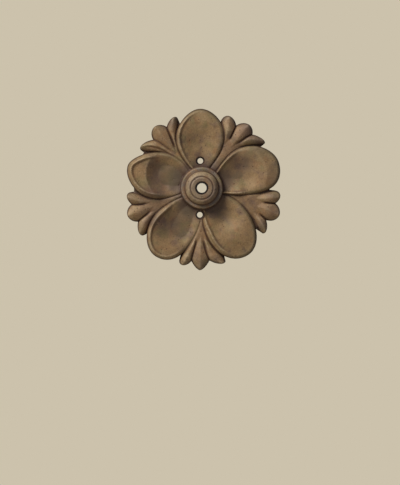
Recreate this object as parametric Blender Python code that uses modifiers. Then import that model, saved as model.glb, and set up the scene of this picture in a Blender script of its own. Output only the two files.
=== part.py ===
"""Cast-iron rosette: five cupped petals over five three-lobed sepals, round a stepped boss with a bolt hole.

Everything is shaped lying face up, on a back plane at height 0, and then stood upright: the back lies on
the XZ plane, the face looks along -Y and +Z is up. The origin is the middle of the bolt hole at the back.
"""
import math

import bmesh
import bpy
from mathutils import Matrix, Vector

MM = 0.001

# Petals: the way each one points, anticlockwise from +X as seen from the front, how far it reaches, and its
# half-widths to the left and right of that line, near the boss, in the middle and near the tip.
# The basin is the hollow of its bowl: where its round end is, along and to the left, its radius, how crisply
# it ends, and the height of its floor.
# The lip is how wide the rim is on the high side, and low_lip is its height on the other side.
PETALS = {
    "top": {
        "direction": 91.3,
        "reach": 47.8 * MM,
        "left": (9.2 * MM, 14.8 * MM, 8.8 * MM),
        "right": (7.7 * MM, 14.3 * MM, 9.3 * MM),
        "basin": {"along": 25 * MM, "left": 0.0 * MM, "radius": 15.6 * MM, "crisp": 0.3, "floor": 4.0 * MM},
        "lip": 1.8 * MM,
        "low_lip": 6.2 * MM,
    },
    "upper_left": {
        "direction": 163.5,
        "reach": 46.8 * MM,
        "left": (9.7 * MM, 14.6 * MM, 8.9 * MM),
        "right": (11.1 * MM, 13.6 * MM, 7.1 * MM),
        "basin": {"along": 19.5 * MM, "left": -3.0 * MM, "radius": 15.8 * MM, "crisp": 0.9, "floor": 2.2 * MM},
        "lip": 2.7 * MM,
        "low_lip": 6.2 * MM,
    },
    "lower_left": {
        "direction": 235.5,
        "reach": 50.0 * MM,
        "left": (10.1 * MM, 13.5 * MM, 9.8 * MM),
        "right": (9.5 * MM, 14.1 * MM, 9.1 * MM),
        "basin": {"along": 27 * MM, "left": 4.0 * MM, "radius": 19.0 * MM, "crisp": 0.4, "floor": 2.4 * MM},
        "lip": 2.2 * MM,
        "low_lip": 4.8 * MM,
    },
    "lower_right": {
        "direction": 305.3,
        "reach": 49.4 * MM,
        "left": (11.8 * MM, 14.2 * MM, 8.9 * MM),
        "right": (10.7 * MM, 14.8 * MM, 10.2 * MM),
        "basin": {"along": 20 * MM, "left": 1.0 * MM, "radius": 17.0 * MM, "crisp": 0.0, "floor": 3.2 * MM},
        "lip": 2.8 * MM,
        "low_lip": 6.2 * MM,
    },
    "upper_right": {
        "direction": 18.6,
        "reach": 49.1 * MM,
        "left": (9.8 * MM, 15.6 * MM, 9.7 * MM),
        "right": (9.4 * MM, 13.7 * MM, 10.9 * MM),
        "basin": {"along": 22.8 * MM, "left": 0.5 * MM, "radius": 17.6 * MM, "crisp": 0.6, "floor": 3.2 * MM},
        "lip": 1.1 * MM,
        "low_lip": 6.2 * MM,
    },
}
# Where along the outline the three half-widths are given: the cosines of its angle, which is 0 at the tip.
WIDTH_PLACES = (-0.5, 0.2, 0.8)
PETAL_ROOT = 5 * MM
BOWL_CENTRE = 26 * MM
CREST_HEIGHT = 7.8 * MM
TIP_DROP = 1.8 * MM
TIP_FALL = 1.8
# A petal's edge is higher near the boss, where it meets the sepals, than at the tip.
ROOT_EDGE_HEIGHT = 4.6 * MM
EDGE_HEIGHT = 2.6 * MM
EDGE_FALL = (22 * MM, 38 * MM)
# The lip stands up as a beaded rim on the sides that face this way, and rolls down softly on the others.
LIP_FACING = 190
LIP_TURN = (-0.15, 0.55)
LIP_WIDTH = 3.8 * MM
LIP_BEAD = 1.0 * MM
LIP_FALL = 0.8 * MM
LIP_HIGH = 8.2 * MM
LIP_ROOT_HEIGHT = 6.0 * MM
LIP_RISE = (13 * MM, 27 * MM)
# The rim is narrower near the boss: this much of its full width.
LIP_ROOT_SHARE = 0.45
LIP_STEEPNESS = 2.6
SOFT_ROLL = 2.2 * MM
# The rings that a petal is shaped with, as shares of the way out: over its bowl, and over its lip.
BOWL_RINGS = (0.15, 0.3, 0.44, 0.57, 0.7)
LIP_RINGS = (0.78, 0.85, 0.9, 0.95, 0.98, 1)

# Sepals: the line that the three lobes leave together, then for each lobe the way its tip points, its reach,
# its half-width, and its curl: the larger, the later it bends away from that line. A tip may come to a point.
# Inside the split the sepal is one smooth body, and outside it the creases between the lobes deepen.
SEPALS = {
    "upper_right": {
        "axis": 57,
        "split": 27 * MM,
        "right": {"direction": 37, "reach": 47.3 * MM, "half_width": 4.7 * MM, "curl": 3.5},
        "middle": {"direction": 53, "reach": 47.7 * MM, "half_width": 6.1 * MM, "curl": 1},
        "left": {"direction": 68.5, "reach": 46.5 * MM, "half_width": 5.0 * MM, "curl": 1.3},
    },
    "upper_left": {
        "axis": 125.5,
        "split": 28 * MM,
        "right": {"direction": 112, "reach": 46.0 * MM, "half_width": 4.0 * MM, "curl": 2.8},
        "middle": {"direction": 127.5, "reach": 46.7 * MM, "half_width": 5.9 * MM, "curl": 1},
        "left": {"direction": 144.8, "reach": 44.9 * MM, "half_width": 4.6 * MM, "curl": 2.5},
    },
    "left": {
        "axis": 200.3,
        "split": 31 * MM,
        "right": {"direction": 186.8, "reach": 45.7 * MM, "half_width": 4.6 * MM, "curl": 2.2},
        "middle": {"direction": 200.5, "reach": 48.0 * MM, "half_width": 6.0 * MM, "curl": 1},
        "left": {"direction": 216, "reach": 46.8 * MM, "half_width": 4.6 * MM, "curl": 2.5},
    },
    "bottom": {
        "axis": 269.2,
        "split": 31 * MM,
        "right": {"direction": 255.8, "reach": 48.2 * MM, "half_width": 3.7 * MM, "curl": 1.4},
        "middle": {"direction": 268.7, "reach": 49.9 * MM, "half_width": 6.2 * MM, "curl": 1, "point": 0.5},
        "left": {"direction": 285.8, "reach": 47.6 * MM, "half_width": 4.9 * MM, "curl": 3.2},
    },
    "right": {
        "axis": 344.5,
        "split": 35 * MM,
        "right": {"direction": 325.5, "reach": 47.0 * MM, "half_width": 4.0 * MM, "curl": 2},
        "middle": {"direction": 340.9, "reach": 49.8 * MM, "half_width": 6.0 * MM, "curl": 1},
        "left": {"direction": 354.3, "reach": 47.8 * MM, "half_width": 4.6 * MM, "curl": 2},
    },
}
LOBE_ROOT = 8 * MM
LOBE_ROOT_WIDTH = 2.2 * MM
LOBE_ROOT_BEND = 0.12
LOBE_SWELL = 20 * MM
TIP_ROUNDING = 1.15
TIP_CROWDING = 1.5
# How sharp the ridge of a lobe is, at its root and on its knob: 0 is round and 1 is a roof.
LOBE_SHARPNESS = (0.5, 0.15)
KNOB_RISE = 0.8 * MM
KNOB_FULLNESS = 2.2
LOBE_EDGE_HEIGHT = 1.4 * MM
LOBE_HEIGHT = 5.8 * MM
MIDDLE_LOBE_HEIGHT = 6.2 * MM
# How high the lobes' stems are inside the split, where they lie in the body, and over what length they leave it.
STEM_HEIGHT = 4.0 * MM
STEM_RISE = 5 * MM

# The body of a sepal, which its stems melt into: it widens between the petals and thins outwards.
BODY = {"reach": 43 * MM, "half_width": 10.5 * MM, "curl": 1, "root_width": 5.5 * MM, "sharpness": (0, 0)}
BODY_HEIGHTS = (5.0 * MM, 2.4 * MM)
BODY_FALL = 10 * MM

GROUND_RADIUS = 41.8 * MM
GROUND_HEIGHT = 2.4 * MM

# Boss: radius and height along its outer side, from the flat nose down, groove by groove, in millimetres.
BOSS_RADIUS = 12.7 * MM
BOSS_PROFILE = [
    (4.6, 14.0), (6.1, 14.1), (6.4, 13.9), (6.6, 13.3), (6.9, 13.3), (7.2, 13.7), (8.2, 13.4), (9.2, 12.4),
    (9.9, 11.2), (10.15, 9.8), (10.25, 8.9), (10.5, 8.9), (11.0, 9.4), (11.9, 9.3), (12.4, 8.7), (12.7, 7.6),
]
NOSE_HEIGHT = 13.9 * MM

# Holes, cored with a taper: wider at the face than at the back.
BOLT_HOLE = {"face_radius": 4.1 * MM, "back_radius": 2.9 * MM}
SCREW_HOLE = {"face_radius": 2.7 * MM, "back_radius": 1.7 * MM}
UPPER_SCREW = (-0.9 * MM, 16.4 * MM)
LOWER_SCREW = (-1.2 * MM, -16.3 * MM)
SCREW_DEPTH = 4.8 * MM

# How far the forms reach below the back plane, where everything is cut off, and the cores beyond the faces.
SUNK = 1.0 * MM
OVERRUN = 2.0 * MM
CUT_RADIUS = 85 * MM
CUT_DEPTH = 25 * MM
PETAL_SEGMENTS = 40
LOBE_SEGMENTS = 12
LOBE_RINGS = 11
ROUND_SEGMENTS = 48
HOLE_SEGMENTS = 32
MERGE_DISTANCE = 0.01 * MM
# A lobe's ball has its two poles on the lobe's middle line, and no direction across it there.
POLE = 0.001
UPRIGHT = Matrix.Rotation(math.radians(90), 4, "X")

IRON_COLOUR = (0.16, 0.105, 0.062, 1)
IRON_METALLIC = 0.35
IRON_ROUGHNESS = 0.55


def smooth(value, low, high):
    """0 below low and 1 above high, with an eased rise between them."""
    t = min(max((value - low) / (high - low), 0.0), 1.0)
    return t * t * (3 - 2 * t)


def mix(first, second, share):
    """The value that lies at this share of the way from the first to the second."""
    return first + (second - first) * share


def add_object(name, mesh, collection):
    """Links a new object with this mesh to the collection."""
    made = bpy.data.objects.new(name, mesh)
    collection.objects.link(made)
    return made


def helper(made):
    """Marks an object as one that only serves a Boolean."""
    made.hide_render = True
    made.display_type = "WIRE"
    return made


def turned_mesh(name, profile, segments):
    """The mesh of a profile of (radius, height) points, turned about Z by a Screw modifier."""
    mesh = bpy.data.meshes.new(name)
    points = [(radius, 0, height) for radius, height in profile]
    mesh.from_pydata(points, [(i, i + 1) for i in range(len(points) - 1)], [])
    turning = bpy.data.objects.new(name + "_turning", mesh)
    bpy.context.scene.collection.objects.link(turning)
    screw = turning.modifiers.new("turn", "SCREW")
    screw.steps = segments
    screw.render_steps = segments
    screw.use_merge_vertices = True
    screw.merge_threshold = MERGE_DISTANCE
    bpy.context.view_layer.update()
    graph = bpy.context.evaluated_depsgraph_get()
    made = bpy.data.meshes.new_from_object(turning.evaluated_get(graph))
    bpy.data.objects.remove(turning)
    return made


def parabola(places, values, at):
    """The height at one place of the parabola that runs through three points."""
    total = 0
    for i in range(3):
        j, k = (i + 1) % 3, (i + 2) % 3
        part = (at - places[j]) * (at - places[k]) / ((places[i] - places[j]) * (places[i] - places[k]))
        total += values[i] * part
    return total


def petal_edge(petal, angle):
    """A point of the petal's outline, along and across it: angle 0 is the tip and pi the root."""
    along = PETAL_ROOT + (petal["reach"] - PETAL_ROOT) / 2 * (1 + math.cos(angle))
    half_widths = petal["left"] if math.sin(angle) > 0 else petal["right"]
    swell = [width / math.sqrt(1 - place ** 2) for width, place in zip(half_widths, WIDTH_PLACES)]
    across = math.sin(angle) * parabola(WIDTH_PLACES, swell, math.cos(angle))
    return Vector((along, across))


def petal_height(petal, place, share, inset):
    """The petal's surface: a hollow bowl, an apron that falls to the tip, and a lip with a rim on one side.

    share is 0 in the middle of the petal and 1 at the outline, and inset is the distance from the outline.
    """
    basin = petal["basin"]
    middle_line = basin["left"] * min(max(place.x / basin["along"], 0), 1)
    beyond = max(place.x - basin["along"], 0)
    depth = min(math.hypot(beyond, place.y - middle_line) / basin["radius"], TIP_FALL)
    inner = min(depth, 1)
    rise = mix(smooth(inner, 0, 1), inner ** 3, basin["crisp"])
    middle = mix(basin["floor"], CREST_HEIGHT, rise) - TIP_DROP * smooth(depth, 1, TIP_FALL)
    facing = math.radians(petal["direction"] - LIP_FACING) + math.atan2(place.y, place.x - BOWL_CENTRE)
    raised = smooth(math.cos(facing), *LIP_TURN)
    outwards = smooth(place.x, *LIP_RISE)
    lip = mix(LIP_ROOT_HEIGHT, mix(petal["low_lip"], LIP_HIGH, raised), outwards)
    lip_width = petal["lip"] * mix(LIP_ROOT_SHARE, 1, outwards)
    bead = LIP_BEAD * raised * math.exp(-(((inset - lip_width) / LIP_FALL) ** 2))
    surface = mix(middle, lip, share ** LIP_STEEPNESS) + bead
    outward = min(inset / mix(SOFT_ROLL, lip_width, raised), 1)
    edge = mix(ROOT_EDGE_HEIGHT, EDGE_HEIGHT, smooth(place.x, *EDGE_FALL))
    return mix(edge, surface, math.sqrt(1 - (1 - outward) ** 2))


def make_petal(name, petal, collection):
    """A turned dish, pulled out from a circle into the petal's outline and given its bowl and lip."""
    top, bottom = 1, 0
    lip_start = BOWL_RINGS[-1]
    profile = [(0, top)] + [(ring, top) for ring in BOWL_RINGS + LIP_RINGS] + [(1, bottom), (0, bottom)]
    mesh = turned_mesh(name, profile, PETAL_SEGMENTS)
    centre = Vector((BOWL_CENTRE, 0))
    for vertex in mesh.vertices:
        radius = math.hypot(vertex.co.x, vertex.co.y)
        angle = math.atan2(vertex.co.y, vertex.co.x)
        ray = petal_edge(petal, angle) - centre
        if radius > lip_start:
            inset = LIP_WIDTH * (1 - radius) / (1 - lip_start)
            share = 1 - inset / ray.length
        else:
            share = radius / lip_start * (1 - LIP_WIDTH / ray.length)
            inset = (1 - share) * ray.length
        place = centre + ray * share
        height = -SUNK
        if vertex.co.z == top:
            height = petal_height(petal, place, max(share, 0), max(inset, 0))
        vertex.co = (place.x, place.y, height)
    made = add_object("petal_" + name, mesh, collection)
    made.rotation_euler.z = math.radians(petal["direction"])
    return helper(made)


def lobe_width(lobe, along):
    """Half the lobe's width: it widens from the root and is rounded off, or pointed, at the tip."""
    rounding = TIP_ROUNDING * lobe["half_width"]
    widest = lobe["reach"] - rounding
    if along > widest:
        tip = min((along - widest) / rounding, 1)
        return lobe["half_width"] * mix(math.sqrt(1 - tip ** 2), 1 - tip, lobe.get("point", 0))
    root_width = lobe.get("root_width", LOBE_ROOT_WIDTH)
    return mix(root_width, lobe["half_width"], smooth(along, LOBE_SWELL, widest))


def lobe_direction(lobe, axis, along):
    """The way, in degrees, to the middle of the lobe at this distance from the centre of the rosette."""
    share = max(along - LOBE_ROOT, 0) / (lobe["reach"] - LOBE_ROOT)
    bend = mix(LOBE_ROOT_BEND, 1, share ** lobe["curl"])
    return mix(axis, lobe["direction"], bend)


def lobe_crown(lobe, crest, along, width):
    """The height of the lobe's ridge, which thins with the lobe."""
    return mix(LOBE_EDGE_HEIGHT, crest(along), math.sqrt(min(width / lobe["half_width"] * KNOB_FULLNESS, 1)))


def make_lobe(name, lobe, axis, crest, collection):
    """A ridge with a rounded tip and an upright edge: a ball pulled out along the lobe's bent path.

    crest is the function that gives the height of the full ridge at each distance along it.
    """
    shape = bmesh.new()
    bmesh.ops.create_uvsphere(shape, u_segments=LOBE_SEGMENTS, v_segments=LOBE_RINGS, radius=1)
    level = math.sin(math.pi / LOBE_SEGMENTS)
    under = math.cos(2 * math.pi / LOBE_SEGMENTS)
    for vertex in shape.verts:
        along = mix(lobe["reach"], LOBE_ROOT, ((1 - vertex.co.z) / 2) ** TIP_CROWDING)
        section = Vector((vertex.co.x, vertex.co.y))
        if section.length > POLE:
            section.normalize()
        width = lobe_width(lobe, along)
        crown = lobe_crown(lobe, crest, along, width)
        sharpness = mix(*lobe.get("sharpness", LOBE_SHARPNESS), smooth(along, LOBE_SWELL, lobe["reach"]))
        if section.y > -level:
            sideways = width * section.x
            ridge = mix(max(section.y, 0), 1 - abs(section.x), sharpness)
            level_at = mix(LOBE_EDGE_HEIGHT, crown, ridge)
        else:
            sideways = width * section.x / under
            level_at = -SUNK
        turn = math.radians(lobe_direction(lobe, axis, along))
        outward = Vector((math.cos(turn), math.sin(turn)))
        place = outward * along + outward.orthogonal() * sideways
        vertex.co = (place.x, place.y, level_at)
    bmesh.ops.recalc_face_normals(shape, faces=shape.faces)
    mesh = bpy.data.meshes.new(name)
    shape.to_mesh(mesh)
    shape.free()
    return helper(add_object(name, mesh, collection))


def make_disc(name, radius, height, place, collection):
    """A low round plate that rises from under the back plane."""
    shape = bmesh.new()
    bmesh.ops.create_cone(
        shape, cap_ends=True, segments=ROUND_SEGMENTS, radius1=radius, radius2=radius, depth=height + SUNK
    )
    bmesh.ops.translate(shape, verts=shape.verts, vec=(place[0], place[1], (height - SUNK) / 2))
    mesh = bpy.data.meshes.new(name)
    shape.to_mesh(mesh)
    shape.free()
    return helper(add_object(name, mesh, collection))


def stem_crest(sepal, side):
    """How high a lobe's ridge is: it leaves the body at the split and rises to a knob before the tip."""
    lobe = sepal[side]
    height = MIDDLE_LOBE_HEIGHT if side == "middle" else LOBE_HEIGHT
    widest = lobe["reach"] - TIP_ROUNDING * lobe["half_width"]

    def crest(along):
        knob = KNOB_RISE * math.exp(-(((along - widest) / lobe["half_width"]) ** 2))
        parted = smooth(along, sepal["split"] - STEM_RISE, sepal["split"] + STEM_RISE)
        return mix(STEM_HEIGHT, height, parted) + knob

    return crest


def body_crest(sepal):
    """How high the sepal's body is: it falls away beyond the split."""
    return lambda along: mix(*BODY_HEIGHTS, smooth(along, sepal["split"], sepal["split"] + BODY_FALL))


def make_sepal(name, sepal, collection):
    """Three lobes that part from one body."""
    body = dict(BODY, direction=sepal["middle"]["direction"])
    make_lobe("sepal_" + name + "_body", body, sepal["axis"], body_crest(sepal), collection)
    for side in ("right", "middle", "left"):
        crest = stem_crest(sepal, side)
        make_lobe("sepal_" + name + "_" + side, sepal[side], sepal["axis"], crest, collection)


def make_hole(name, hole, place, length, collection):
    """A tapered core, from behind the back plane to beyond the face."""
    slope = (hole["face_radius"] - hole["back_radius"]) / length
    shape = bmesh.new()
    bmesh.ops.create_cone(
        shape,
        cap_ends=True,
        segments=HOLE_SEGMENTS,
        radius1=hole["back_radius"] - slope * OVERRUN,
        radius2=hole["face_radius"] + slope * OVERRUN,
        depth=length + 2 * OVERRUN,
    )
    bmesh.ops.translate(shape, verts=shape.verts, vec=(place[0], place[1], length / 2))
    mesh = bpy.data.meshes.new(name)
    shape.to_mesh(mesh)
    shape.free()
    return helper(add_object(name, mesh, collection))


def make_boss(collection):
    """The stepped boss with its flat nose: the object that the Booleans work on."""
    profile = [(0, NOSE_HEIGHT)] + [(radius * MM, height * MM) for radius, height in BOSS_PROFILE]
    profile += [(BOSS_RADIUS, -SUNK), (0, -SUNK)]
    return add_object("rosette", turned_mesh("rosette", profile, ROUND_SEGMENTS), collection)


def iron_material():
    """Brown, rust-toned cast iron with a dull shine."""
    material = bpy.data.materials.new("brown_iron")
    material.use_nodes = True
    shader = material.node_tree.nodes["Principled BSDF"]
    shader.inputs["Base Color"].default_value = IRON_COLOUR
    shader.inputs["Metallic"].default_value = IRON_METALLIC
    shader.inputs["Roughness"].default_value = IRON_ROUGHNESS
    return material


def combine(body, operation, collection):
    """Joins everything in the collection to the body, or cuts it from the body."""
    modifier = body.modifiers.new(collection.name, "BOOLEAN")
    modifier.operation = operation
    modifier.operand_type = "COLLECTION"
    modifier.collection = collection
    modifier.solver = "EXACT"


def new_collection(name):
    """A collection in the scene."""
    made = bpy.data.collections.new(name)
    bpy.context.scene.collection.children.link(made)
    return made


def main():
    """Clears the scene and builds the rosette."""
    for old in list(bpy.data.objects):
        bpy.data.objects.remove(old)
    part = new_collection("rosette")
    forms = new_collection("rosette_forms")
    cores = new_collection("rosette_cores")
    rosette = make_boss(part)
    make_disc("ground", GROUND_RADIUS, GROUND_HEIGHT, (0, 0), forms)
    for name, petal in PETALS.items():
        make_petal(name, petal, forms)
    for name, sepal in SEPALS.items():
        make_sepal(name, sepal, forms)
    make_hole("bolt_core", BOLT_HOLE, (0, 0), NOSE_HEIGHT, cores)
    make_hole("upper_screw_core", SCREW_HOLE, UPPER_SCREW, SCREW_DEPTH, cores)
    make_hole("lower_screw_core", SCREW_HOLE, LOWER_SCREW, SCREW_DEPTH, cores)
    behind = make_disc("behind", CUT_RADIUS, 0, (0, 0), cores)
    behind.scale.z = CUT_DEPTH / SUNK
    combine(rosette, "UNION", forms)
    combine(rosette, "DIFFERENCE", cores)
    rosette.data.materials.append(iron_material())
    for made in bpy.data.objects:
        made.matrix_world = UPRIGHT @ made.matrix_basis


main()
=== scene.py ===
"""Looks of the cast-iron rosette: one fine casting, its brown iron finish, soft light and a camera.

The casting is worked out face up, as a height above its flat back at each place (x, y) of the face. It is
then stood upright, with the back on the XZ plane, the face towards -Y and +Z up, round the frame's origin.
"""
import math

import bpy
import numpy as np
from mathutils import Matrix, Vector

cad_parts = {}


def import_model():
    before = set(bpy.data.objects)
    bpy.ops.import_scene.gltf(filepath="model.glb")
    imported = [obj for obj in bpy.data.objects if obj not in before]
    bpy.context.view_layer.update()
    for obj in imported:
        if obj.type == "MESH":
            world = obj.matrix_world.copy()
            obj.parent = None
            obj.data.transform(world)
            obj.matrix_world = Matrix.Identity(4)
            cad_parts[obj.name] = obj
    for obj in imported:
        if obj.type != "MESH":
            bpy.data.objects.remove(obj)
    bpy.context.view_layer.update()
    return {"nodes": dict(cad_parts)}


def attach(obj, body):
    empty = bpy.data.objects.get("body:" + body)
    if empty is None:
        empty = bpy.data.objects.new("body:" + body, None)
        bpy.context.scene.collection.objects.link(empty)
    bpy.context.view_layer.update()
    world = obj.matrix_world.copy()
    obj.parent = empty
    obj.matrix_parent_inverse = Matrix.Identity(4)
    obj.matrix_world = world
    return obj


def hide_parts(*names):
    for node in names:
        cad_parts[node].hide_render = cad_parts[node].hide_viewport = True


MM = 0.001
# Keeps divisions from running into nothing.
TINY = 1e-9
LEAST_WEIGHT = 1e-4
# Stands for the height at places where there is no iron.
NO_IRON = -1.0

# Petals: the way each one points, anticlockwise from +X as seen from the front, how far it reaches, and its
# half-widths to the left and right of that line, near the boss, in the middle and near the tip. The basin is
# the hollow of its bowl: where its round end is, along and to the left, its radius, how crisply it ends, and
# the height of its floor. The lip is how wide the rim is on the high side, and low_lip is its height on the
# other, where a line of painted shade may run this far inside the outline. A glint is a painted highlight
# line along the rim, where it faces this way.
PETALS = {
    "top": {
        "direction": 91.3,
        "reach": 47.8 * MM,
        "left": (9.2 * MM, 14.8 * MM, 8.8 * MM),
        "right": (7.7 * MM, 14.3 * MM, 9.3 * MM),
        "basin": {"along": 25 * MM, "left": 0.0 * MM, "radius": 15.6 * MM,
                  "crisp": 0.3, "floor": 4.5 * MM},
        "lip": 1.8 * MM,
        "low_lip": 6.2 * MM,
        "glint": 8,
    },
    "upper_left": {
        "direction": 163.5,
        "reach": 46.8 * MM,
        "left": (9.7 * MM, 14.6 * MM, 8.9 * MM),
        "right": (11.1 * MM, 13.6 * MM, 7.1 * MM),
        "basin": {"along": 19.5 * MM, "left": -3.0 * MM, "radius": 15.8 * MM,
                  "crisp": 0.9, "floor": 2.2 * MM},
        "lip": 2.7 * MM,
        "low_lip": 6.2 * MM,
    },
    "lower_left": {
        "direction": 235.5,
        "reach": 50.0 * MM,
        "left": (10.1 * MM, 13.5 * MM, 9.8 * MM),
        "right": (9.5 * MM, 14.1 * MM, 9.1 * MM),
        "basin": {"along": 27 * MM, "left": 4.0 * MM, "radius": 19.0 * MM,
                  "crisp": 0.4, "floor": 2.4 * MM},
        "lip": 2.2 * MM,
        "low_lip": 4.8 * MM,
        "low_shade_line": 2.0 * MM,
    },
    "lower_right": {
        "direction": 305.3,
        "reach": 49.4 * MM,
        "left": (11.8 * MM, 14.2 * MM, 8.9 * MM),
        "right": (10.7 * MM, 14.8 * MM, 10.2 * MM),
        "basin": {"along": 20 * MM, "left": 1.0 * MM, "radius": 17.0 * MM,
                  "crisp": 0.0, "floor": 3.6 * MM},
        "lip": 2.8 * MM,
        "low_lip": 6.2 * MM,
    },
    "upper_right": {
        "direction": 18.6,
        "reach": 49.1 * MM,
        "left": (9.8 * MM, 15.6 * MM, 9.7 * MM),
        "right": (9.4 * MM, 13.7 * MM, 10.9 * MM),
        "basin": {"along": 22.8 * MM, "left": 0.5 * MM, "radius": 17.6 * MM,
                  "crisp": 0.6, "floor": 3.2 * MM},
        "lip": 1.1 * MM,
        "low_lip": 5.6 * MM,
        "glint": 95,
    },
}
# Where along the outline the three half-widths are given: cosines of its angle, 1 at the tip, -1 at the root.
WIDTH_PLACES = (-0.5, 0.2, 0.8)
PETAL_ROOT = 5 * MM
BOWL_CENTRE = 26 * MM
# Distances from the outline are worked out between these shares of it. Elsewhere a place is just far from it.
NEAR_OUTLINE = (0.3, 1.4)
FAR = 50 * MM
CREST_HEIGHT = 7.8 * MM
TIP_DROP = 1.8 * MM
TIP_FALL = 1.8
# A petal's edge is higher near the boss, where it meets the sepals, than at the tip.
ROOT_EDGE_HEIGHT = 4.6 * MM
EDGE_HEIGHT = 2.6 * MM
EDGE_FALL = (22 * MM, 38 * MM)
# The lip stands up as a beaded rim on the sides that face this way, and rolls down softly on the others: it
# turns from one to the other between these cosines.
LIP_FACING = 190
LIP_TURN = (-0.15, 0.55)
LIP_BEAD = 1.0 * MM
LIP_FALL = 0.8 * MM
LIP_HIGH = 8.2 * MM
LIP_ROOT_HEIGHTS = (5.3 * MM, 6.0 * MM)
LIP_RISE = (13 * MM, 27 * MM)
LIP_ROOT_SHARE = 0.45
LIP_STEEPNESS = 2.6
# A dark line of painted shade runs inside the beaded rim. The soft rim gets painted shade at its edge.
RIM_LINE = 1.1 * MM
RIM_LINE_WIDTH = 0.5 * MM
RIM_LINE_SHADE = 0.55
SHADED_SIDE_BAND = (0.2 * MM, 3.0 * MM)
SOFT_ROLL = 2.2 * MM
# A painted highlight line on the rim lies this far inside the outline, and comes in between these cosines.
GLINT_INSET = 0.9 * MM
GLINT_WIDTH = 0.45 * MM
GLINT_FACING = (0.45, 0.85)
GLINT_SHARE = 0.8
OUTLINE_POINTS = 181

# Sepals: the line that the three lobes leave together, then for each lobe the way its tip points, its reach,
# its half-width, and its curl: the larger, the later it bends away from that line. A tip may come to a point.
# Inside the split the sepal is one smooth body, and outside it the creases between the lobes deepen: creases
# says how deep the right and the left one are. A groove may run along a lobe, this far to its left.
SEPALS = {
    "upper_right": {
        "axis": 57,
        "split": 32.5 * MM,
        "creases": (0.9, 0.9),
        "right": {"direction": 37, "reach": 47.3 * MM, "half_width": 4.7 * MM, "curl": 3.5},
        "middle": {"direction": 53, "reach": 47.7 * MM, "half_width": 6.1 * MM, "curl": 1},
        "left": {"direction": 68.7, "reach": 46.5 * MM, "half_width": 5.2 * MM, "curl": 1.3},
    },
    "upper_left": {
        "axis": 125.5,
        "split": 28 * MM,
        "creases": (0.9, 0.25),
        "right": {"direction": 111.6, "reach": 46.0 * MM, "half_width": 4.1 * MM, "curl": 2.8},
        "middle": {"direction": 127.5, "reach": 46.7 * MM, "half_width": 5.9 * MM, "curl": 1},
        "left": {"direction": 145.5, "reach": 44.7 * MM, "half_width": 5.0 * MM, "curl": 2.5,
                 "groove": 0.8 * MM},
    },
    "left": {
        "axis": 200.3,
        "split": 33.5 * MM,
        "creases": (0.7, 0.7),
        "right": {"direction": 186.8, "reach": 45.7 * MM, "half_width": 4.6 * MM, "curl": 2.2},
        "middle": {"direction": 200.5, "reach": 48.0 * MM, "half_width": 6.0 * MM, "curl": 1},
        "left": {"direction": 216.4, "reach": 46.8 * MM, "half_width": 4.8 * MM, "curl": 2.5},
    },
    "bottom": {
        "axis": 269.2,
        "split": 31 * MM,
        "creases": (0.7, 0.7),
        "right": {"direction": 255.8, "reach": 48.2 * MM, "half_width": 3.7 * MM, "curl": 1.4},
        "middle": {"direction": 268.7, "reach": 49.9 * MM, "half_width": 6.2 * MM, "curl": 1, "point": 0.5},
        "left": {"direction": 285.8, "reach": 47.6 * MM, "half_width": 4.9 * MM, "curl": 3.2},
    },
    "right": {
        "axis": 344.5,
        "split": 37.5 * MM,
        "creases": (1.0, 1.0),
        "right": {"direction": 325.5, "reach": 47.0 * MM, "half_width": 4.0 * MM, "curl": 2},
        "middle": {"direction": 340.9, "reach": 49.8 * MM, "half_width": 6.0 * MM, "curl": 1},
        "left": {"direction": 353.9, "reach": 47.8 * MM, "half_width": 4.6 * MM, "curl": 2},
    },
}
# A lobe's path bends, so a place along it is worked out again this many times.
PATH_STEPS = 3
LOBE_ROOT = 8 * MM
LOBE_ROOT_WIDTH = 2.2 * MM
LOBE_ROOT_BEND = 0.12
LOBE_SWELL = 20 * MM
TIP_ROUNDING = 1.15
# How far a lobe's section is a gable and not a round arch, at the root and at the tip.
LOBE_SHARPNESS = (0.5, 0.15)
KNOB_RISE = 0.8 * MM
LOBE_EDGE_HEIGHT = 1.4 * MM
LOBE_HEIGHT = 5.8 * MM
MIDDLE_LOBE_HEIGHT = 6.2 * MM
LOBE_FULLNESS = 2.2
PETAL_GROOVE_WIDTH = 0.5 * MM
PETAL_GROOVE_DEPTH = 0.14

# The body of a sepal, which its stems melt into: it widens between the petals and thins outwards.
BODY = {"reach": 43 * MM, "half_width": 10.5 * MM, "curl": 1, "root_width": 5.5 * MM, "sharpness": (0, 0)}
BODY_HEIGHTS = (5.0 * MM, 2.4 * MM)
BODY_FALL = 10 * MM
STEM_HEIGHT = 4.6 * MM
STEM_RISE = 6 * MM
CREASE_START = 4 * MM
CREASE_WIDTH = 0.8 * MM
CREASE_DEPTH = 1.3 * MM
GROOVE_SHARE = 0.6
GROOVE_START = (27 * MM, 33 * MM)
GROOVE_END = (39 * MM, 43 * MM)

# The ground: a low round plate that the petals and the sepals stand on.
GROUND_RADIUS = 41.1 * MM
GROUND_HEIGHT = 3.4 * MM

# Boss: radius and height from the bolt hole's mouth out, groove by groove, both in millimetres.
BOSS_PROFILE = [
    (3.6, 13.7), (4.1, 13.9), (4.6, 14.0), (6.1, 14.05), (6.4, 13.9), (6.6, 13.4), (6.85, 13.3),
    (7.1, 13.6), (7.5, 13.7), (8.3, 13.3), (9.2, 12.3), (9.8, 11.1), (10.1, 9.8), (10.2, 9.0), (10.35, 8.95),
    (10.55, 9.3), (12.0, 9.3), (12.4, 9.0), (12.6, 8.4), (12.7, 7.6),
]

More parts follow.
